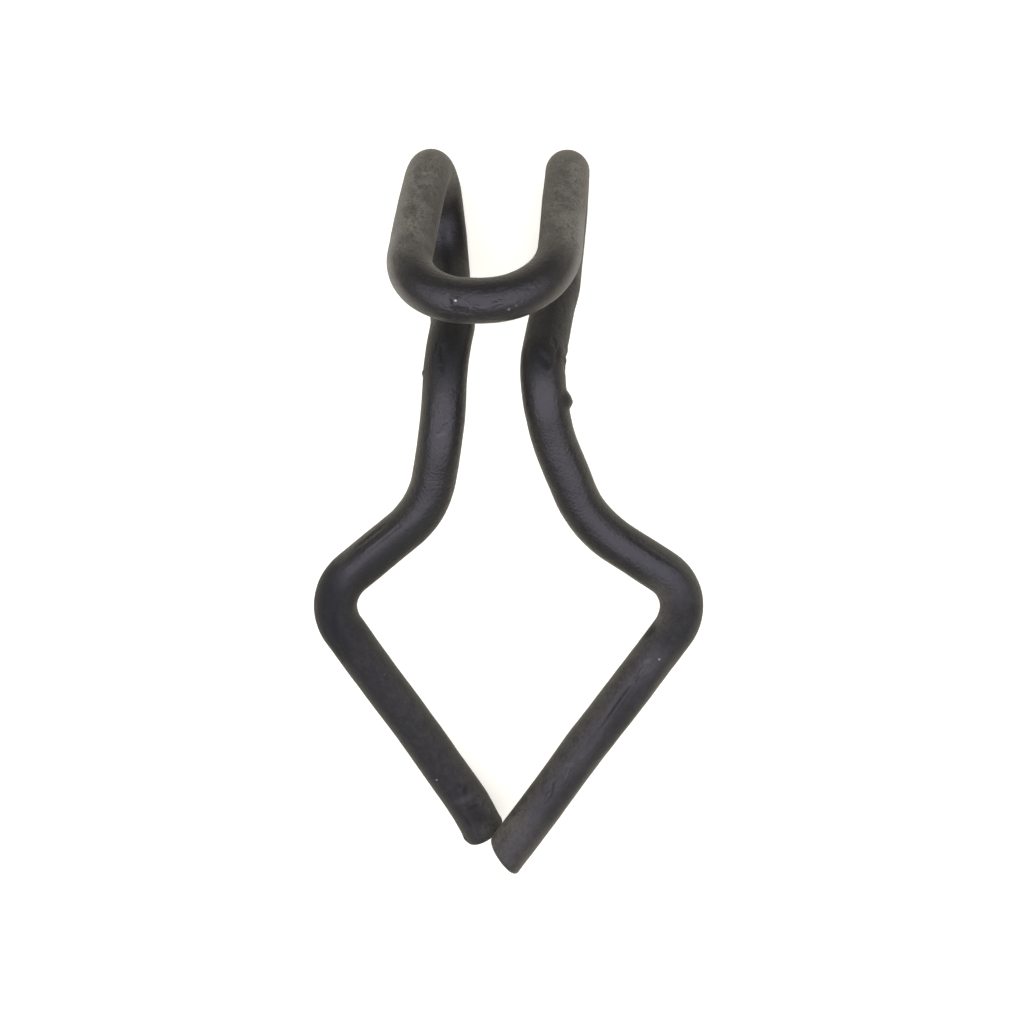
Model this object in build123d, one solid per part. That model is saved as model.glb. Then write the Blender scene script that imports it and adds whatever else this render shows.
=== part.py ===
from build123d import *
import os
from math import atan2, asin, cos, degrees, hypot, radians, sin, tan

# A door trim panel clip, bent from one length of round spring wire with a thick black coat.
# Two legs make a diamond that snaps into the hole in the door. They run up as a narrow neck
# into the head, a hairpin in two layers: the lower layer runs back from the neck, folds
# round, and comes forward again above itself to a crossbar. The trim board slides in between
# the layers. The clip is set by hand, so its left and right sides differ a little.
#
# It is drawn as it sits in a door and then laid down. As drawn, x runs across, y runs back
# along the head from the neck, and z runs up, away from the door. Sizes are in millimetres
# and degrees, and they are measured to the middle of the wire.

# The coated wire
wire_diameter = 1.4

# The head. Its two layers close a little from the fold to the mouth.
head_depth = 7.1
fold_gap = 4.1
mouth_gap = 3.0

# Each leg leans away from the head by more than a right angle.
leg_lean = 14.0

# Left side: how far across each bend lies, and the drop of each leg bend below the head
left_crossbar_across = 3.3
left_crossbar_overhang = 0.2
left_crossbar_radius = 1.8
left_fold_top_across = 2.5
left_fold_bottom_across = 2.0
left_neck_across = 1.85
left_neck_radius = 3.5
left_waist_across = 2.55
left_waist_drop = 4.55
left_waist_radius = 3.2
left_shoulder_across = 6.05
left_shoulder_drop = 7.65
left_shoulder_radius = 1.6
left_tip_across = 0.6
left_tip_drop = 16.35
left_tip_cut = 0.0
left_tip_rounding = 0.3

# Right side, which has one more bend, half way down the neck
right_crossbar_across = 1.35
right_crossbar_overhang = 0.4
right_crossbar_radius = 2.5
right_fold_top_across = 1.9
right_fold_bottom_across = 1.8
right_neck_across = 0.9
right_neck_radius = 1.6
right_mid_across = 1.35
right_mid_drop = 2.15
right_mid_radius = 7.0
right_waist_across = 2.45
right_waist_drop = 5.0
right_waist_radius = 4.1
right_shoulder_across = 6.1
right_shoulder_drop = 7.55
right_shoulder_radius = 1.5
right_tip_across = -0.25
right_tip_drop = 16.2
right_tip_forward = 1.45
right_tip_cut = 18.0
right_tip_rounding = 0.2


def leg_point(across, drop, forward=0.0):
    """A point of a leg: so far across, so far down the leaning leg, so far out of its plane."""
    lean = radians(leg_lean)
    return Vector(across, -drop * sin(lean) - forward, -drop * cos(lean))


def fold_radius():
    """The largest radius that the fold's two bends can share, less a little."""
    closing = atan2(fold_gap - mouth_gap, head_depth)
    half_turn = (radians(90) - closing) / 2
    return 0.97 * fold_gap / (1 + 1 / tan(half_turn))


def left_corners():
    """Corners and radii of the left side, from the shoulder to the crossbar."""
    radius = fold_radius()
    return [
        (leg_point(-left_shoulder_across, left_shoulder_drop), left_shoulder_radius),
        (leg_point(-left_waist_across, left_waist_drop), left_waist_radius),
        (leg_point(-left_neck_across, 0), left_neck_radius),
        (Vector(-left_fold_bottom_across, head_depth, 0), radius),
        (Vector(-left_fold_top_across, head_depth, fold_gap), radius),
        (Vector(-left_crossbar_across, -left_crossbar_overhang, mouth_gap), left_crossbar_radius),
    ]


def right_corners():
    """Corners and radii of the right side, from the shoulder to the crossbar."""
    radius = fold_radius()
    return [
        (leg_point(right_shoulder_across, right_shoulder_drop), right_shoulder_radius),
        (leg_point(right_waist_across, right_waist_drop), right_waist_radius),
        (leg_point(right_mid_across, right_mid_drop), right_mid_radius),
        (leg_point(right_neck_across, 0), right_neck_radius),
        (Vector(right_fold_bottom_across, head_depth, 0), radius),
        (Vector(right_fold_top_across, head_depth, fold_gap), radius),
        (Vector(right_crossbar_across, -right_crossbar_overhang, mouth_gap), right_crossbar_radius),
    ]


def cut_end(run_start, tip, cut, rounding):
    """The straight end of a leg, from its bend to its tip, cut off aslant and rounded."""
    along = (tip - run_start).normalized()
    blank_length = (tip - run_start).length + wire_diameter
    across = Vector(1, 0, 0)
    start_plane = Plane(origin=run_start, x_dir=across, z_dir=along)
    blank = extrude(start_plane * Circle(wire_diameter / 2), amount=blank_length)
    cut_plane = Plane(origin=tip, z_dir=along.rotate(Axis((0, 0, 0), (0, 1, 0)), cut))
    end = split(blank, bisect_by=cut_plane, keep=Keep.BOTTOM)
    rim = end.faces().sort_by_distance(tip)[0].edges()
    return fillet(rim, rounding)


def bent_wire(left_tip, right_tip):
    """The whole wire: the bends and runs between the shoulders, and a straight end each side."""
    corners = left_corners() + right_corners()[::-1]
    points = [left_tip] + [point for point, _ in corners] + [right_tip]
    radii = [radius for _, radius in corners]
    route = FilletPolyline(*points, radius=radii)
    edges = route.edges()
    left_run, right_run = edges[0], edges[-1]
    between = Wire(edges[1:-1])
    section = Plane(origin=between @ 0, z_dir=between % 0) * Circle(wire_diameter / 2)
    body = sweep(section, path=between)
    left_end = cut_end(left_run @ 1, left_tip, left_tip_cut, left_tip_rounding)
    right_end = cut_end(right_run @ 0, right_tip, right_tip_cut, right_tip_rounding)
    print("wire length", round(route.length, 2))
    return body + left_end + right_end


def lying_angle(left_tip):
    """How far the head turns down, about x, until both folds and the left tip lie level."""
    radius = fold_radius()
    shoulder = leg_point(-left_shoulder_across, left_shoulder_drop)
    contact = left_tip + (shoulder - left_tip).normalized() * left_tip_rounding
    back = head_depth - radius - contact.Y
    up = radius - contact.Z
    return degrees(atan2(up, back) - asin(radius / hypot(back, up)))


def lay_down(clip, left_tip):
    """The clip lies on its folds and its left tip, as it comes to rest on a table."""
    laid = Rot(-lying_angle(left_tip), 0, 0) * clip
    box = laid.bounding_box()
    return Pos(-box.center().X, -box.center().Y, -box.min.Z) * laid


left_tip = leg_point(-left_tip_across, left_tip_drop)
right_tip = leg_point(right_tip_across, right_tip_drop, right_tip_forward)
clip = bent_wire(left_tip, right_tip)
clip = lay_down(clip, left_tip)

os.makedirs("parts", exist_ok=True)
export_step(clip, "parts/spring_wire_clip.step")
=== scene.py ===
# %% [markdown]
# # Dressing a door trim panel clip
#
# This clip holds a car's door trim board to the steel of the door. It is one length of spring
# wire, bent with hand tools and then dipped, so it wears a thick, soft black coat. The frame
# below is the plain solid from the CAD. It sets where everything is and how large it is. This
# lesson makes the same wire again with the waves, drips, scuffs and dust of the real coat.

# %% Load the frame
from math import asin, atan2, cos, degrees, hypot, pi, radians, sin

import bpy
import numpy as np
from mathutils import Matrix, Vector


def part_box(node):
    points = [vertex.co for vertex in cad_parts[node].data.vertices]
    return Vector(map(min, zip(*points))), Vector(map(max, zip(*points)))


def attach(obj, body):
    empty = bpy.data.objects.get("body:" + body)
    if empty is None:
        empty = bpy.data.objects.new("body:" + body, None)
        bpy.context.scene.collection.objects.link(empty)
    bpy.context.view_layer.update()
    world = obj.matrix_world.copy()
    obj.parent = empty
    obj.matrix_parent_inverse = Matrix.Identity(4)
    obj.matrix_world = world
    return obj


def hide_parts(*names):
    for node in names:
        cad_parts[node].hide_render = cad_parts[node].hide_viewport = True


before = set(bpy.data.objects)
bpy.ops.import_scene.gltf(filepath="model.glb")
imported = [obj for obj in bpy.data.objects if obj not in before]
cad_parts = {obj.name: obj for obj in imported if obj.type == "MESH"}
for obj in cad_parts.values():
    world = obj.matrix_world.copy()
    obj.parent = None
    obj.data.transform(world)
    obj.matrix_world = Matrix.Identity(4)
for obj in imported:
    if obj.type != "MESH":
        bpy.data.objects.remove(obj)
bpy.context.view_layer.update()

MM = 0.001

# %% [markdown]
# ## The bend table
#
# A wire form is drawn as a bend table: the corners that the wire would have if it were folded
# sharp, and the radius that each bend is given. The table is written as the clip sits in a
# door: x runs across, y runs back along the head, and z runs away from the door. The legs
# lean away from the head. Keeping the table in the maker's own terms means that one number
# moves one bend.

# %% The bend table
wire_radius = 0.70 * MM
head_depth = 7.1 * MM
fold_gap = 4.1 * MM
mouth_gap = 3.0 * MM
leg_lean = radians(14.0)
fold_bend = 1.835 * MM
left_tip_rounding = 0.3 * MM


def leg(across, drop, forward=0.0):
    """A point of a leg: across, down the leaning leg, and forward of its plane, in mm."""
    back = -drop * sin(leg_lean) - forward
    return Vector((across, back, -drop * cos(leg_lean))) * MM


def head(across, back, up):
    """A point of the head: across in mm, back from the neck, and up from its lower layer."""
    return Vector((across * MM, back, up))


bend_table = [
    ("left tip", leg(-0.6, 16.35), 0.0),
    ("left shoulder", leg(-6.05, 7.65), 1.6),
    ("left waist", leg(-2.55, 4.55), 3.2),
    ("left neck", leg(-1.85, 0.0), 3.5),
    ("left lower fold", head(-2.0, head_depth, 0.0), fold_bend / MM),
    ("left upper fold", head(-2.5, head_depth, fold_gap), fold_bend / MM),
    ("left crossbar bend", head(-3.3, -0.2 * MM, mouth_gap), 1.8),
    ("right crossbar bend", head(1.35, -0.4 * MM, mouth_gap), 2.5),
    ("right upper fold", head(1.9, head_depth, fold_gap), fold_bend / MM),
    ("right lower fold", head(1.8, head_depth, 0.0), fold_bend / MM),
    ("right neck", leg(0.9, 0.0), 1.6),
    ("right mid neck", leg(1.35, 2.15), 7.0),
    ("right waist", leg(2.45, 5.0), 4.1),
    ("right shoulder", leg(6.1, 7.55), 1.5),
    ("right tip", leg(-0.25, 16.2, 1.45), 0.0),
]
print(len(bend_table) - 2, "bends between two free ends")

# %% [markdown]
# ## Laying the clip down
#
# Nothing holds a loose clip up, so it lies on a table on the two folds of its head and on its
# left tip. The angle could be tried by eye. Here it comes from the geometry: the head turns
# down about x until the bottom of the folds and the edge of the tip are level.


# %% Lay the bend table down
def lying_angle():
    """How far the head turns down until both folds and the left tip are level."""
    tip, shoulder = bend_table[0][1], bend_table[1][1]
    contact = tip + (shoulder - tip).normalized() * left_tip_rounding
    back = head_depth - fold_bend - contact.y
    up = fold_bend - contact.z
    return atan2(up, back) - asin(fold_bend / hypot(back, up))


lay_down = Matrix.Rotation(-lying_angle(), 3, "X")
corners = [(name, lay_down @ point, radius * MM) for name, point, radius in bend_table]
print("the head turns down by", round(degrees(lying_angle()), 1), "degrees")

# %% [markdown]
# ## Helpers for node trees
#
# Geometry Nodes and shader nodes are wired in the same way in Python: make a node, set it up,
# and give each input either a value or a link. These helpers do that in one call, so a tree
# reads from top to bottom like a recipe.


# %% Node tree helpers
def add(tree, kind, inputs=None, **settings):
    """One node, with its settings, each input linked to a socket or set to a value."""
    node = tree.nodes.new(kind)
    for name, value in settings.items():
        setattr(node, name, value)
    for key, value in (inputs or {}).items():
        if isinstance(value, bpy.types.NodeSocket):
            tree.links.new(value, node.inputs[key])
        else:
            node.inputs[key].default_value = value
    return node


def maths(tree, operation, *values):
    """The result of one maths node."""
    return add(tree, "ShaderNodeMath", dict(enumerate(values)), operation=operation).outputs[0]


def new_tree(name, kind, takes, gives):
    """A node tree with named inputs and outputs: its group input and its group output."""
    tree = bpy.data.node_groups.new(name, kind)
    for label, socket_type, value in takes:
        socket = tree.interface.new_socket(label, in_out="INPUT", socket_type=socket_type)
        if value is not None:
            socket.default_value = value
    for label, socket_type in gives:
        tree.interface.new_socket(label, in_out="OUTPUT", socket_type=socket_type)
    return tree, tree.nodes.new("NodeGroupInput").outputs, tree.nodes.new("NodeGroupOutput")


number, vector = "NodeSocketFloat", "NodeSocketVector"
print("helpers ready")

# %% [markdown]
# ## The wire as a Geometry Nodes tree
#
# A bent wire follows a rule: a circle is carried along a route whose corners are rounded. It
# could be modelled by hand from a tube, but then each bend would have to be pushed into place.
# As a tree, the wire is made anew from the bend table each time, and its sizes are inputs
# with names.

# %% Name the tree's inputs
wire_tree, given, wire_result = new_tree(
    "Bent and coated wire",
    "GeometryNodeTree",
    [
        ("Bend points", "NodeSocketGeometry", None),
        ("Wire radius", number, wire_radius),
        ("Ring spacing", number, 0.06 * MM),
        ("Sides", "NodeSocketInt", 66),
        ("End length", number, 1.0 * MM),
        ("End rounding", number, 0.25 * MM),
        ("Wave size", number, 2.2 * MM),
        ("Wave height", number, 0.025 * MM),
        ("Lump size", number, 0.55 * MM),
        ("Lump height", number, 0.006 * MM),
        ("Seed", number, 4.0),
        ("Coat", "NodeSocketMaterial", None),
    ],
    [("Wire", "NodeSocketGeometry")],
)
print("the wire tree takes", len(wire_tree.interface.items_tree) - 1, "inputs")

# %% [markdown]
# ## The route
#
# Fillet Curve rounds each corner of the route by its own radius, and Resample Curve spaces the
# points evenly. Each point will carry one ring of the surface.

# %% Round the route
POINTS_PER_BEND = 24


def named(tree, name, data_type="FLOAT"):
    """Reads a named attribute."""
    inputs = {"Name": name}
    return add(tree, "GeometryNodeInputNamedAttribute", inputs, data_type=data_type).outputs[0]


def rounded_route(tree):
    """The corners become a curve, each corner is rounded, and the points are spaced evenly."""
    curve = add(tree, "GeometryNodeMeshToCurve", {"Mesh": given["Bend points"]}).outputs[0]
    inputs = {"Curve": curve, "Count": POINTS_PER_BEND, "Limit Radius": True}
    inputs["Radius"] = named(tree, "bend_radius")
    curve = add(tree, "GeometryNodeFilletCurve", inputs, mode="POLY").outputs[0]
    inputs = {"Curve": curve, "Length": given["Ring spacing"]}
    return add(tree, "GeometryNodeResampleCurve", inputs, mode="LENGTH").outputs[0]


route = rounded_route(wire_tree)
print("the route takes", len(wire_tree.nodes), "nodes")

# %% [markdown]
# ## The rounded ends
#
# A cut wire that has been dipped closes in a rounded face. The last rings at both ends are drawn
# together and given a smaller radius, so the same sweep makes the ends too, with no seam.

# %% Round the ends
END_FACE_POWER = 2.6  # 2 would make a round end, and more makes it flatter


def keep(tree, geometry, name, value, data_type="FLOAT"):
    """Stores a value on every point under a name."""
    inputs = {"Geometry": geometry, "Name": name, "Value": value}
    return add(tree, "GeometryNodeStoreNamedAttribute", inputs, data_type=data_type).outputs[0]


def push(tree, geometry, direction, amount):
    """Moves every point by an amount in a direction of its own."""
    offset = add(tree, "ShaderNodeVectorMath", {0: direction, "Scale": amount}, operation="SCALE")
    inputs = {"Geometry": geometry, "Offset": offset.outputs[0]}
    return add(tree, "GeometryNodeSetPosition", inputs).outputs[0]


def from_ends(tree):
    """How far each point is from the start and from the nearer end, and the whole length."""
    start = add(tree, "GeometryNodeSplineParameter").outputs["Length"]
    whole = add(tree, "GeometryNodeSplineLength").outputs["Length"]
    return start, maths(tree, "MINIMUM", start, maths(tree, "SUBTRACT", whole, start)), whole


def gather_rings(tree, curve):
    """Draws the last rings of each end together, so that the rounded end is smooth."""
    start, nearer, whole = from_ends(tree)
    share = maths(tree, "MINIMUM", maths(tree, "DIVIDE", nearer, given["End length"]), 1.0)
    quarter = maths(tree, "COSINE", maths(tree, "MULTIPLY", share, pi / 2))
    gathered = maths(tree, "MULTIPLY", given["End length"], maths(tree, "SUBTRACT", 1.0, quarter))
    zone = maths(tree, "MULTIPLY", given["End length"], share)
    shift = maths(tree, "SUBTRACT", zone, gathered)
    middle = maths(tree, "MULTIPLY", whole, 0.5)
    way = maths(tree, "SIGN", maths(tree, "SUBTRACT", start, middle))
    tangent = add(tree, "GeometryNodeInputTangent").outputs[0]
    return push(tree, curve, tangent, maths(tree, "MULTIPLY", shift, way))


def end_swell(tree):
    """The share of the full radius near an end: a rounded face, then the whole wire."""
    _, nearer, _ = from_ends(tree)
    inside = maths(tree, "MINIMUM", maths(tree, "DIVIDE", nearer, given["End rounding"]), 1.0)
    left_over = maths(tree, "POWER", maths(tree, "SUBTRACT", 1.0, inside), END_FACE_POWER)
    return maths(tree, "POWER", maths(tree, "SUBTRACT", 1.0, left_over), 1 / END_FACE_POWER)


route = gather_rings(wire_tree, route)
route = keep(wire_tree, route, "swell", end_swell(wire_tree))
print("with its ends it takes", len(wire_tree.nodes), "nodes")

# %% [markdown]
# ## The sweep
#
# Curve to Mesh carries the circle along the route. The tree also keeps, on every point of the
# surface, where that point was before the wire was bent: "straight" is its place on the
# straight wire. Noise that reads those coordinates runs along the wire and round its bends
# without stretching.

# %% Carry the circle along
WELD_DISTANCE = 0.002 * MM


def swept(tree, curve):
    """Carries the circle along the route, and keeps each point's place on the wire."""
    curve = keep(tree, curve, "along", from_ends(tree)[0])
    position = add(tree, "GeometryNodeInputPosition").outputs[0]
    curve = keep(tree, curve, "centre", position, "FLOAT_VECTOR")
    inputs = {"Resolution": given["Sides"], "Radius": given["Wire radius"]}
    circle = add(tree, "GeometryNodeCurvePrimitiveCircle", inputs).outputs["Curve"]
    turn = add(tree, "GeometryNodeSplineParameter").outputs["Factor"]
    circle = keep(tree, circle, "around", turn)
    inputs = {"Curve": curve, "Profile Curve": circle, "Fill Caps": True}
    tube = add(tree, "GeometryNodeCurveToMesh", inputs)
    if "Scale" in tube.inputs:
        tree.links.new(named(tree, "swell"), tube.inputs["Scale"])
    inputs = {"Geometry": tube.outputs[0], "Distance": WELD_DISTANCE}
    return add(tree, "GeometryNodeMergeByDistance", inputs).outputs[0]


def straightened(tree, mesh):
    """Keeps where each point of the surface was before the wire was bent."""
    turn = maths(tree, "MULTIPLY", named(tree, "around"), 2 * pi)
    x = maths(tree, "MULTIPLY", given["Wire radius"], maths(tree, "COSINE", turn))
    y = maths(tree, "MULTIPLY", given["Wire radius"], maths(tree, "SINE", turn))
    place = add(tree, "ShaderNodeCombineXYZ", {0: x, 1: y, 2: named(tree, "along")}).outputs[0]
    return keep(tree, mesh, "straight", place, "FLOAT_VECTOR")


surface = straightened(wire_tree, swept(wire_tree, route))
print("with the sweep it takes", len(wire_tree.nodes), "nodes")

# %% [markdown]
# ## The waves of the coat
#
# A dipped coat runs while it is wet and dries in long waves with small lumps on them. They show
# at the edges of the wire too, where relief drawn by the material wouldn't, so the tree moves
# the surface itself: two noises of different sizes, from one seed. The tree ends by making its
# instances real and setting the material, because only real faces are exported.

# %% Raise the coat
NOISE_GAIN = 3.0  # brings the noise, which keeps near its middle, to about -1 and 1
LUMP_SEED = 7.0


def swells(tree, size, height, seed_shift):
    """How far the coat stands above or below the plain wire: noise of one size."""
    inputs = {"Vector": named(tree, "straight", "FLOAT_VECTOR"), "Detail": 1.0}
    inputs["W"] = maths(tree, "ADD", given["Seed"], seed_shift)
    inputs["Scale"] = maths(tree, "DIVIDE", 1.0, size)
    noise = add(tree, "ShaderNodeTexNoise", inputs, noise_dimensions="4D").outputs[0]
    centred = maths(tree, "MULTIPLY", maths(tree, "SUBTRACT", noise, 0.5), NOISE_GAIN)
    return maths(tree, "MULTIPLY", height, centred)


def coated(tree, mesh):
    """Lets the surface rise and sink in waves and small lumps, as a dipped coat dries."""
    waves = swells(tree, given["Wave size"], given["Wave height"], 0.0)
    lumps = swells(tree, given["Lump size"], given["Lump height"], LUMP_SEED)
    normal = add(tree, "GeometryNodeInputNormal").outputs[0]
    return push(tree, mesh, normal, maths(tree, "ADD", waves, lumps))


surface = coated(wire_tree, surface)
surface = add(wire_tree, "GeometryNodeSetShadeSmooth", {"Geometry": surface}).outputs[0]
surface = add(wire_tree, "GeometryNodeRealizeInstances", {"Geometry": surface}).outputs[0]
inputs = {"Geometry": surface, "Material": given["Coat"]}
surface = add(wire_tree, "GeometryNodeSetMaterial", inputs).outputs[0]
wire_tree.links.new(surface, wire_result.inputs["Wire"])
print("the whole wire tree has", len(wire_tree.nodes), "nodes")

# %% [markdown]
# ## From tree to mesh
#
# The bend table becomes a string of vertices, each with its bend radius. The tree runs on it
# as a modifier, and the evaluated result is copied into a plain mesh, because only a plain
# mesh travels to other programs.


# %% Run the tree
def bend_points():
    """A string of vertices at the corners, each with the radius of its bend."""
    mesh = bpy.data.meshes.new("bend_points")
    runs = [(i, i + 1) for i in range(len(corners) - 1)]
    mesh.from_pydata([point for _, point, _ in corners], runs, [])
    radii = mesh.attributes.new("bend_radius", "FLOAT", "POINT")
    radii.data.foreach_set("value", [radius for _, _, radius in corners])
    return mesh


def plain_mesh(source, tree, name, **wanted):
    """Runs a tree on a mesh with the wanted inputs, and returns a plain object."""
    carrier = bpy.data.objects.new(name, source)
    bpy.context.scene.collection.objects.link(carrier)
    modifier = carrier.modifiers.new(tree.name, "NODES")
    modifier.node_group = tree
    for item in tree.interface.items_tree:
        if item.in_out == "INPUT" and item.name in wanted:
            modifier[item.identifier] = wanted[item.name]
    ready = carrier.evaluated_get(bpy.context.evaluated_depsgraph_get())
    mesh = bpy.data.meshes.new_from_object(ready)
    carrier.modifiers.remove(modifier)
    carrier.data = mesh
    mesh.name = name
    return carrier


coat = bpy.data.materials.new("black_dipped_coat")
wire = plain_mesh(bend_points(), wire_tree, "coated_wire", Coat=coat)
print(len(wire.data.vertices), "vertices", len(wire.data.polygons), "faces")

# %% [markdown]
# ## Numbers on the surface
#
# The rest of the shaping is small and local, so it is done on arrays of points. Every point
# knows how far along the wire it is and where the middle of the wire is beside it. From that
# come a direction out of the wire, and the angle by which a point looks away from straight up:
# 0 on top, 90 degrees on the right of someone who walks along the wire from the left tip.

# %% Read the points
END_FACE_FADE = 4


def read(mesh, name, width):
    """An attribute of every vertex as an array."""
    data = np.zeros(len(mesh.vertices) * width)
    mesh.attributes[name].data.foreach_get("value" if width == 1 else "vector", data)
    return data.reshape(-1, width) if width > 1 else data


def unit(vectors):
    """The same directions with length one."""
    return vectors / np.maximum(np.linalg.norm(vectors, axis=1), 1e-12)[:, None]


def square_to_wire(direction):
    """At every point, the part of a direction that stands square to the wire."""
    direction = np.array(direction)
    return unit(direction - tangents * (tangents @ direction)[:, None])


points = read(wire.data, "position", 3)
centres = read(wire.data, "centre", 3)
along = read(wire.data, "along", 1)
along_mm = along / MM
wire_length = along.max()
order = np.unique(along.round(9), return_index=True)[1]
line, line_along = centres[order], along[order]
slopes = unit(np.gradient(line, axis=0))
tangents = np.stack([np.interp(along, line_along, slopes[:, i]) for i in range(3)], axis=1)
tangents = unit(tangents)
tops = square_to_wire((0.0, 0.0, 1.0))
sides = np.cross(tangents, tops)
out = points - centres
outward = unit(out)
turned = np.degrees(np.arctan2((out * sides).sum(1), (out * tops).sum(1)))
on_side = np.clip(np.linalg.norm(out, axis=1) / wire_radius, 0, 1) ** END_FACE_FADE
print("the wire is", round(wire_length / MM, 2), "mm long. Bends, in mm along it:")
for name, point, _ in corners:
    nearest = np.linalg.norm(line - np.array(point), axis=1).argmin()
    print("   ", name, round(float(line_along[nearest] / MM), 1))

# %% [markdown]
# ## Cut end and small bends
#
# The right leg was cut off aslant. Sliding its last rings along the wire, in proportion to how
# far each point lies to the outer side, tilts the end face and leaves the wire round.
#
# A wire that is bent over hand tools also wanders by a few hundredths of a millimetre between
# its bends. A short table gives each wander: where it is along the wire, how far it goes to
# the right and back, and its reach, all in millimetres.

# %% Shape the cut end and the small bends
right_cut = radians(18.0)
cut_reach = 1.5 * MM


def soft_step(share):
    """A share from 0 to 1 that starts and ends gently."""
    share = np.clip(share, 0, 1)
    return share * share * (3 - 2 * share)


outer = square_to_wire((1.0, 0.0, 0.0))
share = soft_step(1 - (wire_length - along) / cut_reach)
points = points + tangents * ((out * outer).sum(1) * np.tan(right_cut) * share)[:, None]

small_bends = [
    (0.2, -0.10, -0.07, 0.8),
    (4.2, 0.02, 0.02, 1.6),
    (19.0, -0.07, 0.0, 1.1),
    (21.1, 0.09, 0.0, 0.9),
    (24.6, -0.03, 0.0, 1.0),
    (29.3, 0.05, 0.0, 1.0),
    (49.9, 0.04, 0.0, 0.9),
    (69.6, -0.03, 0.02, 1.4),
]
for place, right, back, reach in small_bends:
    fade = np.exp(-(((along_mm - place) / reach) ** 2))
    points = points + fade[:, None] * np.array([right, back, 0.0]) * MM
print("the right end is slanted by", round(degrees(right_cut)), "degrees")
print(len(small_bends), "small bends")

# %% [markdown]
# ## Marks
#
# Handling has left its marks: dents from the bending tool, folds where the coat buckled in a
# bend, and a drip that dried on the side of the right neck. Each mark is an ellipse on the
# unrolled wire, which is full in its middle and fades out at its edge. It may rise or sink, and
# it carries up to three finishes that the material reads later: bare and bright, painted shade,
# or dull. The painted shade darkens the colour in its dents, creases, folds and hollows.
# Sculpting would do as well, but a table can be read and changed. Scratches and specks are
# finer than the mesh, so the material draws those.
#
# One line of the table is one mark: its place along the wire in mm, its turn from the top in
# degrees, its length and width in mm and its slant in degrees, then its height in mm, and its
# brightness, painted shade and dullness from 0 to 1.

# %% Leave the marks
DOME_POWER = 1.5  # how roundly a mark rises from its edge
FINISH_POWER = 0.5  # a finish reaches nearer to the edge of its mark than the height does


def ellipse(place, turn, length, width, slant):
    """How much a mark covers each point, from 1 in its middle to 0 at its edge."""
    ahead = along_mm - place
    aside = np.radians((turned - turn + 180) % 360 - 180) * wire_radius / MM
    level, across = cos(radians(slant)), sin(radians(slant))
    lengthwise = (ahead * level + aside * across) / (length / 2)
    crosswise = (aside * level - ahead * across) / (width / 2)
    return np.clip(1 - lengthwise**2 - crosswise**2, 0, 1) ** DOME_POWER * on_side


# The middle finish of each mark is painted shade.
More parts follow.
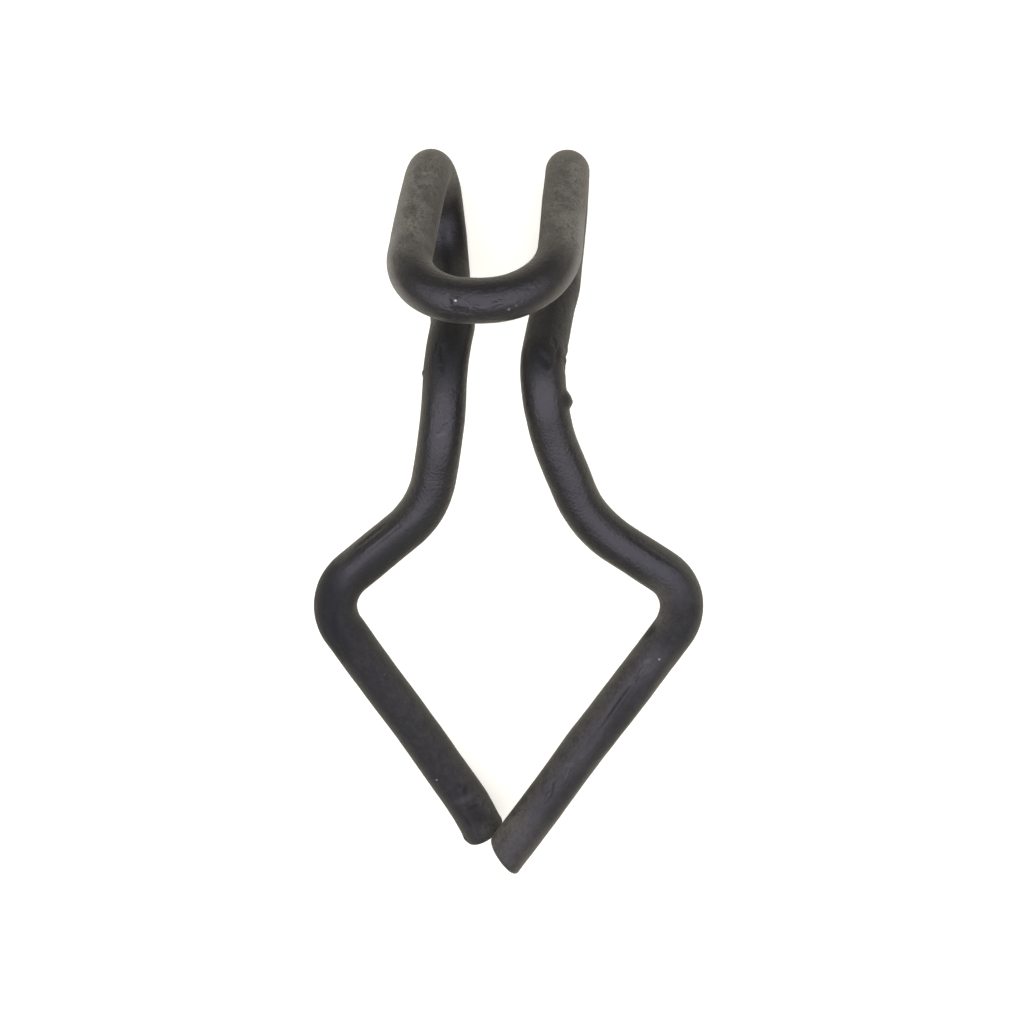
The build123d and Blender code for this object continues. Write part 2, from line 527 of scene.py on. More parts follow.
marks = {
    # Left tip: a pinched dimple, then a crescent and a comma past it, and a burr of the cut
    "dimple": (ellipse(1.05, 5, 1.1, 1.0, 0), -0.075, 0.0, 0.9, 0.6),
    "dimple end": (ellipse(1.42, 8, 0.34, 0.7, 8), -0.03, 0.0, 1.0, 0.0),
    "dimple side": (ellipse(1.1, -26, 0.9, 0.24, -6), -0.03, 0.0, 1.0, 0.0),
    "crescent": (ellipse(1.84, 2, 0.34, 1.0, 12), 0.035, 0.022, 0.0, 0.6),
    "comma": (ellipse(2.1, 19, 0.5, 0.26, 40), -0.05, 0.0, 1.0, 0.0),
    "burr": (ellipse(0.4, -76, 0.4, 0.45, 0), 0.035, 0.0, 0.0, 0.0),
    # Left shoulder and upper run: a hollowed band, and a flat pressed by the bending tool
    "shoulder band": (ellipse(9.5, -9, 3.4, 0.65, 19), -0.09, 0.0, 1.0, 1.0),
    "band below it": (ellipse(12.5, 42, 5.6, 1.3, 0), -0.12, 0.0, 0.8, 0.6),
    # Left neck: wrinkles in the bend, and a nick at the edge
    "long wrinkle": (ellipse(19.1, -12, 1.2, 0.24, -8), -0.03, 0.0, 0.7, 0.0),
    "edge nick": (ellipse(18.85, -84, 0.22, 0.4, 0), 0.04, 0.0, 0.2, 0.0),
    # Crossbar: a pimple, a fold at the rim, and coat that ran together
    "pimple": (ellipse(35.8, 3, 0.34, 0.34, 0), 0.035, 0.0, 0.0, 0.0),
    "fold at the rim": (ellipse(35.75, 44, 1.0, 0.36, -5), -0.06, 0.0, 0.9, 0.3),
    "swollen coat": (ellipse(36.7, 17, 1.8, 0.5, -4), 0.02, 0.0, 0.0, 0.0),
    # Right neck: two creases where the coat buckled, a ragged outer edge, and the drip
    "crease": (ellipse(54.12, -3, 0.75, 0.26, -42), -0.09, 0.0, 1.0, 0.0),
    "crease by the edge": (ellipse(53.9, -38, 0.65, 0.24, 6), -0.08, 0.0, 1.0, 0.0),
    "rag 1": (ellipse(53.2, -76, 0.3, 0.5, 0), 0.035, 0.0, 0.0, 0.0),
    "rag 2": (ellipse(53.5, -80, 0.25, 0.5, 0), -0.03, 0.0, 0.3, 0.0),
    "rag 3": (ellipse(53.8, -78, 0.3, 0.5, 0), 0.035, 0.0, 0.0, 0.0),
    "rag 4": (ellipse(54.2, -80, 0.4, 0.5, 0), -0.035, 0.0, 0.4, 0.0),
    "drip": (ellipse(55.2, -84, 0.72, 0.9, 10), 0.13, 0.0, 0.5, 0.0),
    "drip hook": (ellipse(55.35, -92, 0.34, 0.5, 0), 0.04, 0.0, 0.4, 0.0),
    # Right neck, lower down: pressed a little flat
    "flat": (ellipse(56.8, 2, 5.0, 1.05, 0), -0.03, 0.0, 0.0, 0.0),
    # Right shoulder: a pinched notch on the inner side
    "notch lip": (ellipse(64.4, 64, 0.9, 0.4, 0), 0.03, 0.06, 0.0, 0.0),
    "notch": (ellipse(65.1, 62, 0.8, 0.5, 10), -0.08, 0.0, 1.0, 0.3),
    # Right leg: the coat has sagged beside a long crease
    "rubbed spot": (ellipse(66.0, 10, 0.8, 0.55, 20), 0.0, 0.012, 0.0, 0.3),
    "sagged coat": (ellipse(67.6, 22, 3.0, 0.5, -2), 0.02, 0.0, 0.0, 0.0),
    "sunk side": (ellipse(67.9, -26, 4.0, 0.95, -2), -0.055, 0.0, 0.5, 0.7),
    "sunk side, lower": (ellipse(71.2, -26, 3.2, 0.9, -4), -0.03, 0.0, 0.5, 0.6),
}
# The dark finish is painted shade.
finish = {name: np.zeros(len(points)) for name in ("bright", "dark", "dull")}
for cover, height, *amounts in marks.values():
    points = points + outward * (cover * height * MM)[:, None]
    for name, amount in zip(finish, amounts):
        finish[name] = np.maximum(finish[name], cover**FINISH_POWER * amount)
print(len(marks), "marks,", int((sum(finish.values()) > 0.05).sum()), "points touched")

# %% [markdown]
# ## Where the coat is dull, and where shade is painted
#
# The legs and the necks were pushed through the steel of the door, which rubbed their coat
# dull. Along the left leg, round both shoulders and in the necks, shade is also painted into the
# coat's colour. Both could be painted by hand. Here they are stretches along the wire with soft
# ends, and one line of a list is one stretch: from, to, how soft its ends are in mm, and how
# strong it is. Masks that go by a point's turn from the top keep each finish to its own side:
# the sides of the wire stay satin, and the painted shade on the left leg is deepest on its outer
# side.


# %% Map the dull coat and the painted shade
def stretches(rows):
    """The strongest of several stretches along the wire, each with soft ends."""
    total = np.zeros(len(points))
    for start, end, soft, strength in rows:
        rise = soft_step((along_mm - start) / soft + 0.5)
        fall = soft_step((end - along_mm) / soft + 0.5)
        total = np.maximum(total, strength * rise * fall)
    return total


def ramp(values, low, high):
    """A share that grows from 0 at the low value to 1 at the high one."""
    return np.clip((values - low) / (high - low), 0, 1)


dull_stretches = [
    (-1.0, 9.8, 1.0, 0.85),
    (8.4, 11.0, 1.0, 0.85),
    (18.3, 24.4, 1.0, 0.40),
    (34.0, 39.0, 1.5, 0.08),
    (49.4, 54.5, 0.8, 0.45),
    (63.2, 65.4, 1.2, 0.85),
    (62.8, 76.0, 2.0, 0.35),
]
satin_sides = 1 - 0.8 * ramp(np.abs(turned), 30, 55)
finish["dull"] = np.maximum(finish["dull"], stretches(dull_stretches)) * satin_sides

# Painted shade along the left leg, round both shoulders and in the necks.
painted_shade_stretches = [
    (-1.0, 11.0, 2.0, 0.5),
    (8.2, 11.0, 1.5, 1.5),
    (18.6, 24.4, 1.0, 0.9),
    (49.6, 54.4, 1.0, 0.9),
    (63.2, 65.4, 1.2, 0.4),
]
# The painted shade on the left leg is deepest on its outer side.
left_leg_end = 15.0
shaded_outer_side = np.where(along_mm < left_leg_end, 0.4 + ramp(-turned, -10, 50), 1.0)
finish["dark"] = np.maximum(finish["dark"], stretches(painted_shade_stretches) * shaded_outer_side)
print(len(dull_stretches), "dull stretches and", len(painted_shade_stretches), "dark ones")

# %% [markdown]
# ## Where dust lies
# The head sat outside the door, under the edge of the trim board, so pale dust has settled and
# been rubbed into its two arms. Both tips have some too, and the top of the wire a little. The
# same pale colour is also painted on as light: it grows towards the outer rims of the head and
# the inner sides of the legs, it runs along the outer rims of the wire, and on the left arm one
# side is made lighter and the other darker. On the outer rims of the head a pale painted
# reflection is laid on as well.

# %% Map the dust
top_dust = [
    (-1.0, 1.4, 1.0, 0.30),
    (-1.0, 10.0, 3.0, 0.03),
    (27.3, 33.6, 1.8, 1.0),
    (39.6, 46.5, 2.0, 1.0),
    (46.0, 52.0, 2.0, 0.04),
    (63.5, 76.0, 3.0, 0.03),
    (72.3, 76.0, 1.2, 0.18),
]
# Painted reflection: a pale line along the outer rims of the wire.
outer_rim_painted_reflection = [
    (-1.0, 11.5, 1.5, 0.50),
    (18.4, 24.0, 1.5, 0.30),
    (48.5, 54.6, 1.5, 0.40),
    (61.5, 76.0, 3.0, 0.25),
    (61.5, 67.0, 1.5, 0.42),
]
# Painted light: the inner sides of the legs are made paler.
inner_side_painted_light = [
    (1.0, 9.5, 2.0, 0.16),
    (62.0, 76.0, 2.0, 0.26),
    (62.0, 65.5, 1.5, 0.42),
]
# Dust and painted light on the outer rims of the head.
head_rim_dust_and_painted_light = [(29.5, 35.0, 1.5, 0.55), (38.2, 42.0, 1.5, 0.45)]
# Painted reflection: pale bare colour on the outer rims of the head.
head_rim_painted_reflection = [(29.0, 33.0, 1.5, 0.09), (32.3, 34.6, 1.2, 0.18), (38.8, 41.4, 1.2, 0.14)]

# Painted light and shade by side: the pale colour grows towards one side of the wire, and the left
# arm is lighter on one side and darker on the other.
turns = [-60, -20, 20, 60]
dust_and_painted_light_by_side = np.interp(turned, turns, [0.78, 0.84, 1.10, 1.5])
on_left_arm = stretches([(29.0, 34.0, 1.5, 1.0)])
painted_light_and_shade_on_left_arm = 1 + on_left_arm * np.interp(turned, turns, [-0.25, -0.05, 0.0, 0.2])
outer_rim = ramp(-turned, 30, 60)
inner_side = ramp(turned, 10, 50) * ramp(-turned, -110, -90)
head_rim = ramp(turned, 30, 60)

# The dust mask carries the dust and the painted light together.
finish["dust_and_painted_light"] = stretches(top_dust) * dust_and_painted_light_by_side * painted_light_and_shade_on_left_arm
finish["dust_and_painted_light"] += outer_rim * stretches(outer_rim_painted_reflection)
finish["dust_and_painted_light"] += head_rim * stretches(head_rim_dust_and_painted_light)
finish["dust_and_painted_light"] += inner_side * stretches(inner_side_painted_light)
# The painted reflection on the outer rims of the head goes into the bright finish.
finish["bright"] += head_rim * stretches(head_rim_painted_reflection)
print("the dustiest point has", round(float(finish["dust_and_painted_light"].max()), 2))

# %% [markdown]
# ## Storing the finishes
#
# The four finishes are stored as named attributes of the mesh, where the material reads them.
# So is the unrolled place of each point, for the marks that the material draws.


# %% Store the finishes
def write(mesh, name, values):
    """Stores a number or a vector for each vertex under a name, for the material to read."""
    kind, field = ("FLOAT", "value") if values.ndim == 1 else ("FLOAT_VECTOR", "vector")
    attribute = mesh.attributes.new(name, kind, "POINT")
    attribute.data.foreach_set(field, values.astype(np.float32).ravel())


for name, values in finish.items():
    write(wire.data, name, values)
angle = np.radians(turned)
write(wire.data, "unrolled", np.stack([np.sin(angle), np.cos(angle), along_mm], axis=1))
print({name: round(float(values.mean()), 3) for name, values in finish.items()})

# %% [markdown]
# ## Setting the wire down in the frame
#
# The new wire takes the place of the plain solid. The middle of its box goes to the middle of
# the solid's box, and nothing may stand outside that box: the waves of the coat are pressed
# flat where the clip touches the table.

# %% Set the wire down
box_low, box_high = (np.array(corner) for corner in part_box("spring_wire_clip"))
low, high = points.min(0), points.max(0)
shift = (box_low + box_high) / 2 - (low + high) / 2
points = np.clip(points + shift, box_low, box_high)
wire.data.vertices.foreach_set("co", points.ravel())
wire.data.update()
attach(wire, "root")
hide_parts("spring_wire_clip")
larger = (high - low) - (box_high - box_low)
print("moved by", (shift / MM).round(3), "mm; larger by", (larger / MM).round(3), "mm")

# %% [markdown]
# ## Shader node groups
#
# The coat needs the same few effects in several places, so each is a node group of its own:
# the place of a point on the straight wire, patches of noise, streaks, a fine mark, and the
# relief of the dried coat. The groups give only numbers and normals. The shader itself stays
# in the material.
#
# The first group reads the place on the straight wire that the tree kept, and gives it in
# millimetres, so that every size below is in millimetres too.


# %% Find the place on the wire
def attribute(tree, name):
    """Reads one of the numbers kept on the mesh."""
    return add(tree, "ShaderNodeAttribute", attribute_name=name).outputs["Fac"]


def group(tree, source, inputs=None):
    """Puts a node group into a tree and returns its outputs."""
    return add(tree, "ShaderNodeGroup", inputs, node_tree=source).outputs


place_group, _, gives = new_tree(
    "Place on the wire in mm", "ShaderNodeTree", [], [("Place", vector)]
)
straight = add(place_group, "ShaderNodeAttribute", attribute_name="straight").outputs["Vector"]
in_mm = add(place_group, "ShaderNodeVectorMath", {0: straight, "Scale": 1 / MM}, operation="SCALE")
place_group.links.new(in_mm.outputs[0], gives.inputs["Place"])
print("group:", place_group.name)

# %% [markdown]
# ## Patches and streaks
#
# Nothing on a dipped coat is even. Patches are noise of a chosen size, stretched until it is
# nearly a mask of islands: they break up the colour, the dust and the shine. Streaks are the
# same noise drawn out along the wire, like the fine lines that a drawn wire keeps.


# %% Make the patches and the streaks
def remap(tree, value, low, high, new_low=0.0, new_high=1.0):
    """Stretches the range from low to high over the new range, and clamps it."""
    inputs = {"Value": value, "From Min": low, "From Max": high}
    inputs.update({"To Min": new_low, "To Max": new_high})
    return add(tree, "ShaderNodeMapRange", inputs).outputs[0]


patch_group, takes, gives = new_tree(
    "Patches",
    "ShaderNodeTree",
    [
        ("Place", vector, None),
        ("Size", number, 1.0),
        ("Detail", number, 2.0),
        ("Low", number, 0.35),
        ("High", number, 0.65),
    ],
    [("Mask", number)],
)
inputs = {"Vector": takes["Place"], "Detail": takes["Detail"], "Roughness": 0.6}
inputs["Scale"] = maths(patch_group, "DIVIDE", 1.0, takes["Size"])
noise = add(patch_group, "ShaderNodeTexNoise", inputs).outputs[0]
mask = remap(patch_group, noise, takes["Low"], takes["High"])
patch_group.links.new(mask, gives.inputs["Mask"])

streak_group, takes, gives = new_tree(
    "Streaks along the wire",
    "ShaderNodeTree",
    [("Place", vector, None), ("Size", number, 0.1), ("Stretch", number, 12.0)],
    [("Height", number)],
)
slow = maths(streak_group, "DIVIDE", 1.0, takes["Stretch"])
stretch = add(streak_group, "ShaderNodeCombineXYZ", {0: 1.0, 1: 1.0, 2: slow}).outputs[0]
inputs = {0: takes["Place"], 1: stretch}
drawn = add(streak_group, "ShaderNodeVectorMath", inputs, operation="MULTIPLY").outputs[0]
inputs = {"Vector": drawn, "Detail": 2.0}
inputs["Scale"] = maths(streak_group, "DIVIDE", 1.0, takes["Size"])
noise = add(streak_group, "ShaderNodeTexNoise", inputs).outputs[0]
streak_group.links.new(noise, gives.inputs["Height"])
print("groups:", patch_group.name, "and", streak_group.name)

# %% [markdown]
# ## A fine mark
#
# This group is the ellipse of the marks above once more, built from nodes, because scratches
# and specks are finer than the mesh. The place of a point round the wire arrives as a sine and
# a cosine, so that the material sees no jump where the angle starts again. "Wander" pushes the
# edge about, so that no mark is a perfect ellipse.

# %% Make the fine mark
mark_group, takes, gives = new_tree(
    "Fine mark",
    "ShaderNodeTree",
    [
        ("Unrolled", vector, None),
        ("Place", number, 0.0),
        ("Turn", number, 0.0),
        ("Length", number, 0.2),
        ("Width", number, 0.1),
        ("Slant", number, 0.0),
        ("Wander", vector, None),
    ],
    [("Cover", number)],
)


def mark_maths(operation, *values):
    """One maths node of the fine mark."""
    return maths(mark_group, operation, *values)


unrolled = add(mark_group, "ShaderNodeSeparateXYZ", {0: takes["Unrolled"]}).outputs
wander = add(mark_group, "ShaderNodeSeparateXYZ", {0: takes["Wander"]}).outputs
ahead = mark_maths("SUBTRACT", mark_maths("ADD", unrolled["Z"], wander["X"]), takes["Place"])
turn = mark_maths("ARCTAN2", unrolled["X"], unrolled["Y"])
turn = mark_maths("SUBTRACT", turn, mark_maths("RADIANS", takes["Turn"]))
aside = mark_maths("MULTIPLY_ADD", turn, wire_radius / MM, wander["Y"])
slant = mark_maths("RADIANS", takes["Slant"])
across, level = mark_maths("SINE", slant), mark_maths("COSINE", slant)
lengthwise = mark_maths("MULTIPLY_ADD", ahead, level, mark_maths("MULTIPLY", aside, across))
crosswise = mark_maths("MULTIPLY", aside, level)
crosswise = mark_maths("SUBTRACT", crosswise, mark_maths("MULTIPLY", ahead, across))
lengthwise = mark_maths("DIVIDE", lengthwise, mark_maths("MULTIPLY", takes["Length"], 0.5))
crosswise = mark_maths("DIVIDE", crosswise, mark_maths("MULTIPLY", takes["Width"], 0.5))
away = mark_maths("MULTIPLY", lengthwise, lengthwise)
away = mark_maths("ADD", away, mark_maths("MULTIPLY", crosswise, crosswise))
cover = mark_maths("POWER", remap(mark_group, away, 1.0, 0.0), DOME_POWER)
mark_group.links.new(cover, gives.inputs["Cover"])
print("group:", mark_group.name, "with", len(mark_group.nodes), "nodes")

# %% [markdown]
# ## Relief of the coat
#
# Close up, the dried coat has a fine grain, ripples a little larger than the grain, and the
# streaks of the wire under it. All are a hundredth of a millimetre high or less, so they are
# left to a Bump node, and the fine marks are added to the same height.

# %% Make the relief
relief_group, takes, gives = new_tree(
    "Relief of the coat",
    "ShaderNodeTree",
    [
        ("Place", vector, None),
        ("Marks", number, 0.0),
        ("Grain size", number, 0.09),
        ("Grain height", number, 0.010),
        ("Ripple size", number, 0.28),
        ("Ripple height", number, 0.007),
        ("Streak height", number, 0.008),
    ],
    [("Normal", vector)],
)
inputs = {"Place": takes["Place"], "Low": 0.2, "High": 0.8}
grain = group(relief_group, patch_group, {**inputs, "Size": takes["Grain size"]})["Mask"]
ripple = group(relief_group, patch_group, {**inputs, "Size": takes["Ripple size"]})["Mask"]
streak = group(relief_group, streak_group, {"Place": takes["Place"]})["Height"]
height = maths(relief_group, "MULTIPLY", grain, takes["Grain height"])
for layer, layer_height in ((ripple, "Ripple height"), (streak, "Streak height")):
    more = maths(relief_group, "MULTIPLY", layer, takes[layer_height])
    height = maths(relief_group, "ADD", height, more)
height = maths(relief_group, "ADD", height, takes["Marks"])
bump = add(relief_group, "ShaderNodeBump", {"Height": height, "Strength": 1.0, "Distance": MM})
relief_group.links.new(bump.outputs[0], gives.inputs["Normal"])
print("group:", relief_group.name, "with", len(relief_group.nodes), "nodes")

# %% [markdown]
# ## The fine marks
#
# The specks, scratches, scuffs and small wrinkles that catch the light on the real clip are a
# tenth to a few tenths of a millimetre wide. Each is one line: its place along the wire in mm,
# its turn from the top in degrees, its length and width in mm and its slant in degrees, then
# its height in mm and how bright and bare it is. Chips and specks are bright, and most of the
# others only raise or sink the coat.

# %% List the fine marks
fine_marks = [
    # Left leg: a comma by the tip, a speck and a dot
    (2.3, 16, 0.4, 0.2, 80, -0.02, 0.0),
    (2.95, -31, 0.1, 0.1, 0, 0.01, 0.35),
    (7.1, 26, 0.08, 0.14, 0, 0.01, 0.06),
    # Left upper run: two raised lines and a sunk one, drawn along the wire
    (12.8, -26, 2.0, 0.2, 0, 0.015, 0.0),
    (13.2, -13, 1.6, 0.16, 1, 0.012, 0.0),
    (12.65, -49, 1.6, 0.22, 0, -0.025, 0.0),
    # Left neck: scuffs on the highlight, and short wrinkles above them
    (16.7, -6, 0.1, 0.1, 0, 0.01, 0.03),
    (17.08, 1, 0.45, 0.22, 60, -0.02, 0.03),
    (17.28, 9, 0.55, 0.2, 40, -0.025, 0.0),
    (17.45, 13, 0.14, 0.14, 0, 0.01, 0.05),
    (17.7, -7, 0.6, 0.16, -25, 0.015, 0.01),
    (19.2, -10, 1.1, 0.28, -6, -0.05, 0.0),
    (19.4, -28, 0.8, 0.24, 12, -0.035, 0.0),
    (19.9, 10, 1.2, 0.26, 6, -0.03, 0.0),
    (20.6, -20, 0.9, 0.2, -5, -0.012, 0.0),
    # Crossbar: a pale point on the pimple, a fold under it, ridges, specks and a burst bubble
    (35.77, 1, 0.09, 0.09, 0, 0.01, 0.8),
    (35.6, 4, 0.42, 0.26, 80, -0.035, 0.0),
    (35.95, 27, 0.85, 0.3, 10, -0.05, 0.0),
    (36.15, 16, 0.55, 0.22, 62, 0.03, 0.015),
    (36.4, 14, 0.5, 0.18, 20, 0.025, 0.02),
    (36.8, 9, 0.6, 0.18, -15, 0.02, 0.01),
    (37.1, 30, 0.1, 0.1, 0, 0.01, 0.22),
    (37.3, 26, 0.1, 0.1, 0, 0.01, 0.08),
    (37.75, -1, 0.3, 0.26, 0, -0.012, 0.0),
    # Right neck: small wrinkles round the creases in the bend
    (53.6, -20, 0.6, 0.22, -30, -0.03, 0.0),
    (54.3, -24, 0.5, 0.2, 20, 0.02, 0.01),
    (52.6, 5, 1.4, 0.24, 5, -0.012, 0.0),
    (51.8, -25, 1.0, 0.22, -8, -0.012, 0.0),
    # Right upper run: a line drawn along the wire
    (61.5, -33, 2.4, 0.22, 0, -0.02, 0.0),
    # Right leg: a speck, a rubbed spot, scratches and creases
    (65.57, -8, 0.1, 0.1, 0, 0.01, 0.35),
    (65.85, 16, 0.55, 0.3, 30, 0.02, 0.03),
    (66.05, 2, 0.4, 0.26, 12, -0.02, 0.0),
    (66.2, 10, 0.6, 0.14, 8, 0.02, 0.02),
    (66.6, 14, 0.55, 0.2, 10, -0.03, 0.0),
    (67.5, 5, 2.4, 0.24, -2, -0.07, 0.0),
    (69.0, 2, 1.6, 0.3, -3, -0.04, 0.0),
    (70.2, 14, 0.55, 0.3, 40, 0.02, 0.02),
    (70.5, 2, 0.7, 0.14, -14, 0.02, 0.03),
    (71.3, 11, 1.1, 0.2, -15, -0.05, 0.0),
]
print(len(fine_marks), "fine marks,", sum(row[-1] > 0 for row in fine_marks), "of them bright")

# %% [markdown]
# ## Drawing the fine marks
#
# Each line of the table becomes one fine mark group in the coat's material. Their heights add
# up to one relief, and their brightness adds to the bare spots of the larger marks and the
# painted reflection on the head's rims. Specks are too small to wander and the long lines were
# drawn straight, so only the marks between them get a ragged edge.

# %% Draw the fine marks
WANDER_SCALE = 5.0
WANDER_REACH = 0.2
LONGEST_SPECK, SHORTEST_LINE = 0.2, 1.5

coat.use_nodes = True
tree = coat.node_tree
coat_shader = tree.nodes["Principled BSDF"]
place = group(tree, place_group)["Place"]
unrolled = add(tree, "ShaderNodeAttribute", attribute_name="unrolled").outputs["Vector"]
inputs = {"Vector": place, "Scale": WANDER_SCALE, "Detail": 2.0}
wander = add(tree, "ShaderNodeTexNoise", inputs).outputs["Color"]
inputs = {0: wander, 1: (0.5, 0.5, 0.5)}
wander = add(tree, "ShaderNodeVectorMath", inputs, operation="SUBTRACT").outputs[0]
inputs = {0: wander, "Scale": WANDER_REACH}
wander = add(tree, "ShaderNodeVectorMath", inputs, operation="SCALE").outputs[0]

relief, bare_and_painted_light = 0.0, attribute(tree, "bright")
for where, turn, length, width, slant, height, brightness in fine_marks:
    inputs = {"Place": where, "Turn": turn, "Length": length, "Width": width, "Slant": slant}
    if LONGEST_SPECK < length < SHORTEST_LINE:
        inputs["Wander"] = wander
    cover = group(tree, mark_group, {"Unrolled": unrolled, **inputs})["Cover"]
    relief = maths(tree, "MULTIPLY_ADD", cover, height, relief)
    if brightness:
        bare_and_painted_light = maths(tree, "MULTIPLY_ADD", cover, brightness, bare_and_painted_light)
print("the marks take", len(tree.nodes), "nodes of the coat")

# %% [markdown]
# ## Colour of the coat
#
# The coat is nearly black. Patches shift it between a cold and an olive black. Dust lies over
# it in a paler olive, thinned in spots and clouds, with pits where it has fallen out; the same
# colour is laid on the rims and the inner sides of the legs as painted light. A thin haze of
# dust is left all over, and more of it where the coat is dull. Painted shade darkens creases,
# dents, shoulders and necks towards black, and bright marks show pale bare spots, with a painted
# reflection along the outer rims of the head. The layers are mixed from the coat upwards.

# %% Mix the colour
MIX_FIRST, MIX_SECOND, MIX_COLOUR = 6, 7, 2  # where a Mix node keeps its colour sockets
COLD_BLACK, OLIVE_BLACK = (0.0062, 0.0056, 0.0062), (0.0110, 0.0108, 0.0082)
# The dust colours also paint light on the rims and inner sides; the deepest black is painted
# shade, and the pale colour is bare coat and a painted reflection.
DARK_DUST, PALE_DUST = (0.084, 0.079, 0.062), (0.186, 0.176, 0.134)
PAINTED_SHADE_BLACK = (0.003, 0.003, 0.003)
BARE_AND_PAINTED_LIGHT = (0.62, 0.61, 0.58)
HAZE_WHERE_DULL, HAZE_ALL_OVER = 0.12, 0.04


def patches(size, low, high, detail=2.0):
    """Patches of noise on the wire, as a mask."""
    inputs = {"Place": place, "Size": size, "Low": low, "High": high, "Detail": detail}
    return group(coat.node_tree, patch_group, inputs)["Mask"]


def blend(tree, share, first, second):
    """A mix of two colours, each a socket or three numbers."""
    inputs = {0: share}
    for index, colour in ((MIX_FIRST, first), (MIX_SECOND, second)):
        is_socket = isinstance(colour, bpy.types.NodeSocket)
        inputs[index] = colour if is_socket else (*colour, 1.0)
    return add(tree, "ShaderNodeMix", inputs, data_type="RGBA").outputs[MIX_COLOUR]


coat_colour = blend(tree, patches(0.9, 0.3, 0.7), COLD_BLACK, OLIVE_BLACK)
dust_and_painted_light_colour = blend(tree, patches(0.08, 0.25, 0.75, 4.0), DARK_DUST, PALE_DUST)
thin_spots = remap(tree, patches(0.45, 0.36, 0.56, 4.0), 0.0, 1.0, 0.50, 1.0)
thin_clouds = remap(tree, patches(1.1, 0.30, 0.60), 0.0, 1.0, 0.72, 1.0)
pits = remap(tree, patches(0.15, 0.56, 0.68), 0.0, 1.0, 1.0, 0.40)
thinned = maths(tree, "MULTIPLY", thin_spots, thin_clouds)
dust_and_painted_light = maths(tree, "MULTIPLY", attribute(tree, "dust_and_painted_light"), thinned)
dust_and_painted_light = maths(tree, "MULTIPLY", dust_and_painted_light, pits)
mottled = maths(tree, "MULTIPLY", patches(0.22, 0.42, 0.72, 4.0), attribute(tree, "dull"))
haze = maths(tree, "MULTIPLY", patches(0.07, 0.45, 0.75, 3.0), HAZE_ALL_OVER)
haze = maths(tree, "MULTIPLY_ADD", mottled, HAZE_WHERE_DULL, haze)
dust_and_painted_light = maths(tree, "ADD", dust_and_painted_light, haze)
# The pale mix is dust, and painted light on the rims and the inner sides of the legs.
colour = blend(tree, dust_and_painted_light, coat_colour, dust_and_painted_light_colour)
# Painted shade: creases, dents, shoulders and necks darken towards black.
colour = blend(tree, attribute(tree, "dark"), colour, PAINTED_SHADE_BLACK)
# Pale bare spots, with a painted reflection on the outer rims of the head.
colour = blend(tree, bare_and_painted_light, colour, BARE_AND_PAINTED_LIGHT)
tree.links.new(colour, coat_shader.inputs["Base Color"])
print("with its colour the coat has", len(tree.nodes), "nodes")

# %% [markdown]
# ## Shine of the coat
#
# A fresh part of the coat is satin. Where it is dull it scatters light almost like paper, and
# dust takes the shine away as well. Small patches make the highlight uneven. A trace of warm
# sheen stands for the fine dust that catches the light along the edges of the wire.

# %% Set the shine and the relief
SATIN, RUBBED_DULL, DUSTY = 0.37, 0.90, 0.85
UNEVENNESS = 0.06

roughness = remap(tree, attribute(tree, "dull"), 0.0, 1.0, SATIN, RUBBED_DULL)
uneven = remap(tree, patches(0.18, 0.25, 0.75, 4.0), 0.0, 1.0, -UNEVENNESS, UNEVENNESS)
roughness = maths(tree, "ADD", roughness, uneven)
inputs = {"A": roughness, "B": DUSTY, "Factor": dust_and_painted_light}
roughness = add(tree, "ShaderNodeMix", inputs).outputs[0]
tree.links.new(roughness, coat_shader.inputs["Roughness"])
coat_shader.inputs["Sheen Weight"].default_value = 0.12
coat_shader.inputs["Sheen Roughness"].default_value = 0.3
coat_shader.inputs["Sheen Tint"].default_value = (1.0, 0.95, 0.85, 1)
normal = group(tree, relief_group, {"Place": place, "Marks": relief})["Normal"]
tree.links.new(normal, coat_shader.inputs["Normal"])
print("the whole coat has", len(tree.nodes), "nodes")

# %% [markdown]
# ## Floor
#
# The clip lies on a pale board. A pure white board would lose the clip's shadow, so its own
# colour is a yellowish white, which also warms the light that it throws up at the sides of the
# wire. A glow that only the camera and reflections see lifts it to white without adding any
# light to the clip.

# %% Lay the floor
FLOOR_HALF_WIDTH = 1.0
GLOW_SEEN, GLOW_REFLECTED = 0.60, 0.05


def reflected_rays(tree, path):
    """1 where a ray comes from a mirror or a glass, and 0 elsewhere."""
    return maths(tree, "MAXIMUM", path["Is Glossy Ray"], path["Is Transmission Ray"])


floor_mesh = bpy.data.meshes.new("pale_floor")
half = FLOOR_HALF_WIDTH
floor_corners = [(-half, -half, 0), (half, -half, 0), (half, half, 0), (-half, half, 0)]
floor_mesh.from_pydata(floor_corners, [], [(0, 1, 2, 3)])
floor = bpy.data.objects.new("pale_floor", floor_mesh)
bpy.context.scene.collection.objects.link(floor)
pale = bpy.data.materials.new("pale_floor")
pale.use_nodes = True
tree = pale.node_tree
floor_shader = tree.nodes["Principled BSDF"]
floor_shader.inputs["Base Color"].default_value = (0.70, 0.69, 0.50, 1)
floor_shader.inputs["Roughness"].default_value = 0.9
floor_shader.inputs["Specular IOR Level"].default_value = 0.2
floor_shader.inputs["Emission Color"].default_value = (1.0, 1.0, 1.0, 1)
path = add(tree, "ShaderNodeLightPath").outputs
glow = maths(tree, "MULTIPLY", reflected_rays(tree, path), GLOW_REFLECTED)
glow = maths(tree, "MULTIPLY_ADD", path["Is Camera Ray"], GLOW_SEEN, glow)
tree.links.new(glow, floor_shader.inputs["Emission Strength"])
floor_mesh.materials.append(pale)
print("the floor is", 2 * half, "m square")

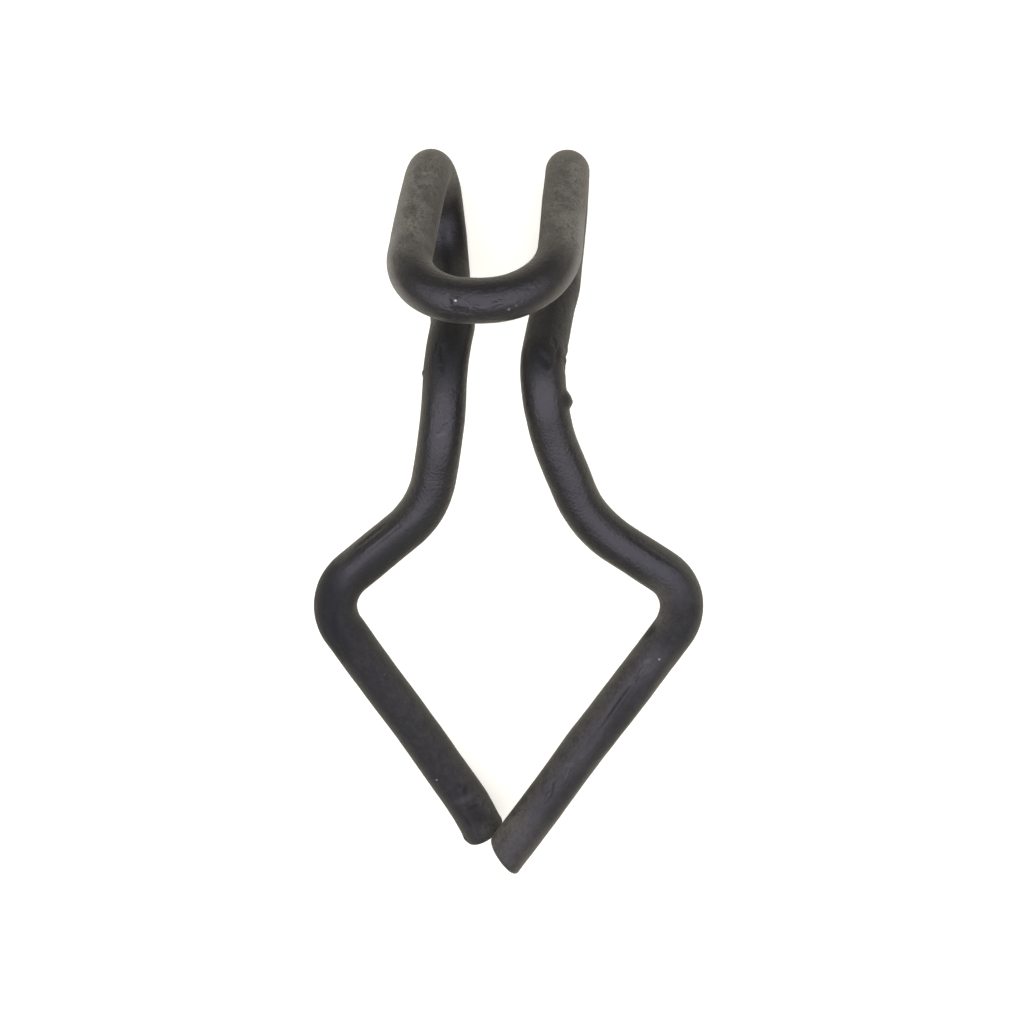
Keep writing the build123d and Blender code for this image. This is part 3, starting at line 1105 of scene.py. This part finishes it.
# %% [markdown]
# ## Light
#
# The clip lies in a plain, even room, and one large soft lamp over its legs makes the broad
# highlight along the top of the wire. The room is much dimmer than the lamp, so the sides of
# the wire stay dark. Just above the floor is a warm, bright horizon that only reflections see:
# it gives the rims of the wire their pale line. It is dimmer to the front and the back than to
# the two sides. The camera sees plain white behind the floor.

# %% Light the room
ROOM_STRENGTH = 0.25
HORIZON_TOP, HORIZON_STRENGTH, HORIZON_FRONT_AND_BACK = 0.18, 0.75, 0.45
WHITE, WARM_WHITE = (1.0, 1.0, 1.0), (1.0, 0.96, 0.78)

world = bpy.data.worlds.new("studio")
bpy.context.scene.world = world
world.use_nodes = True
tree = world.node_tree
tree.nodes.clear()
direction = add(tree, "ShaderNodeTexCoord").outputs["Generated"]
direction = add(tree, "ShaderNodeSeparateXYZ", {0: direction}).outputs
horizon = remap(tree, direction["Z"], 0.0, HORIZON_TOP, HORIZON_STRENGTH, 0.0)
front_or_back = maths(tree, "ABSOLUTE", direction["Y"])
dimming = remap(tree, front_or_back, 0.0, 1.0, 1.0, HORIZON_FRONT_AND_BACK)
horizon = maths(tree, "MULTIPLY", horizon, dimming)
path = add(tree, "ShaderNodeLightPath").outputs
reflected = reflected_rays(tree, path)
seen = maths(tree, "MULTIPLY", reflected, horizon)
seen = maths(tree, "MAXIMUM", path["Is Camera Ray"], seen)
room = add(tree, "ShaderNodeBackground", {"Color": (1, 1, 1, 1), "Strength": ROOM_STRENGTH})
tint = blend(tree, reflected, WHITE, WARM_WHITE)
backdrop = add(tree, "ShaderNodeBackground", {"Color": tint, "Strength": 1.0})
mixed = add(tree, "ShaderNodeMixShader", {0: seen, 1: room.outputs[0], 2: backdrop.outputs[0]})
add(tree, "ShaderNodeOutputWorld", {"Surface": mixed.outputs[0]})


def soft_lamp(name, place, size, radiance, colour):
    """A rectangular lamp that shines down, as bright as a sheet of that radiance."""
    lamp = bpy.data.lights.new(name, "AREA")
    lamp.shape = "RECTANGLE"
    lamp.size, lamp.size_y = size
    lamp.energy = radiance * pi * size[0] * size[1]
    lamp.color = colour
    holder = bpy.data.objects.new(name, lamp)
    holder.location = place
    holder.visible_camera = False
    bpy.context.scene.collection.objects.link(holder)
    return holder


softbox = soft_lamp(
    "overhead_softbox",
    place=(0, -0.0215, 0.12),
    size=(0.35, 0.213),
    radiance=2.0,
    colour=(0.985, 0.945, 1.14),
)
print("one lamp of", round(softbox.data.energy, 3), "W")

# %% [markdown]
# ## Camera
#
# The clip lies down, so the camera looks down on it from about nine centimetres away, which
# is close enough for the raised head to look a little larger than the legs. It leans by about
# five degrees, from over the head towards the tips.

# %% Aim the camera
camera_data = bpy.data.cameras.new("camera")
camera_data.sensor_width = 36
camera_data.lens = 98.953
camera_data.clip_start = 0.001
camera_data.clip_end = 10
camera = bpy.data.objects.new("camera", camera_data)
camera.location = (-0.000548, 0.008777, 0.092589)
camera.rotation_euler = (radians(-5.413), radians(-0.368), radians(0.108))
bpy.context.scene.collection.objects.link(camera)
bpy.context.scene.camera = camera
bpy.context.scene.view_settings.view_transform = "Standard"
print("camera height in mm", round(camera.location.z / MM, 1))
